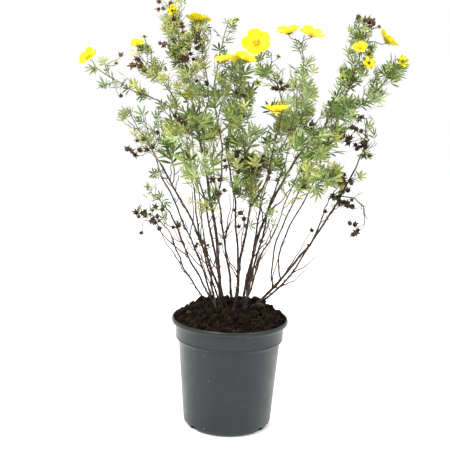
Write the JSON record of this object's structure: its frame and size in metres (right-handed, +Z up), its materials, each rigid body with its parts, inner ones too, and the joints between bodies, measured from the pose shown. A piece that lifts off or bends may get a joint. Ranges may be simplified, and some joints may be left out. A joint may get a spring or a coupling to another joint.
{
  "type": "potted shrubby cinquefoil",
  "caption": "Small open shrub with thin twiggy stems, divided leaves, yellow five-petalled flowers and dry brown seed heads, standing in a round dark plastic nursery pot of compost.",
  "frame": {"origin": "middle of the pot's flat underside", "axes": "+Z up, -Y towards the camera of the picture, +X to the right in the picture"},
  "size_m": [0.5184, 0.3509, 0.6858],
  "materials": {
    "pot_plastic": "satin, slightly dusty",
    "compost": "rough, moist and crumbly",
    "bark": "rough, peeling in thin strips",
    "young_bark": "matte",
    "foliage": "matte green, with yellow blooms and brown seed heads"
  },
  "bodies": {
    "root": {"bough_centre": "young_bark", "bough_front": "young_bark", "bough_left": "young_bark", "bough_right_back": "young_bark", "bough_right_front": "young_bark", "bough_right_top": "young_bark", "pot": "pot_plastic", "soil": "compost", "spray_back": "foliage", "spray_back_far_left": "foliage", "spray_back_left": "foliage", "spray_back_right": "foliage", "spray_big_flower": "foliage", "spray_centre": "foliage", "spray_centre_low": "foliage", "spray_centre_right": "foliage", "spray_centre_upper": "foliage", "spray_far_right": "foliage", "spray_front": "foliage", "spray_front_low_left": "foliage", "spray_front_low_right": "foliage", "spray_front_right": "foliage", "spray_inner_left": "foliage", "spray_left_flower": "foliage", "spray_left_front": "foliage", "spray_left_upper": "foliage", "spray_long_left": "foliage", "spray_low_left": "foliage", "spray_right_back": "foliage", "spray_right_far": "foliage", "spray_right_front": "foliage", "spray_right_mid": "foliage", "spray_right_spire": "foliage", "spray_right_top": "foliage", "spray_right_under": "foliage", "spray_seeds_left": "foliage", "spray_seeds_right": "foliage", "spray_spire": "foliage", "spray_tall_front": "foliage", "spray_top_centre": "foliage", "spray_top_left": "foliage", "stem_back_far_left": "bark", "stem_back_left": "bark", "stem_back_right": "bark", "stem_front_left": "bark", "stem_front_right": "bark", "stem_inner_left": "bark", "stem_long_left": "bark", "stem_low_left": "bark", "stem_mid_back": "bark", "stem_mid_front": "bark", "stem_mid_left": "bark", "stem_mid_right": "bark", "stem_outer_left": "bark", "stem_right_long": "bark", "stem_right_low": "bark", "stem_right_tall": "bark", "stem_tall": "bark"}
  },
  "joints": []
}
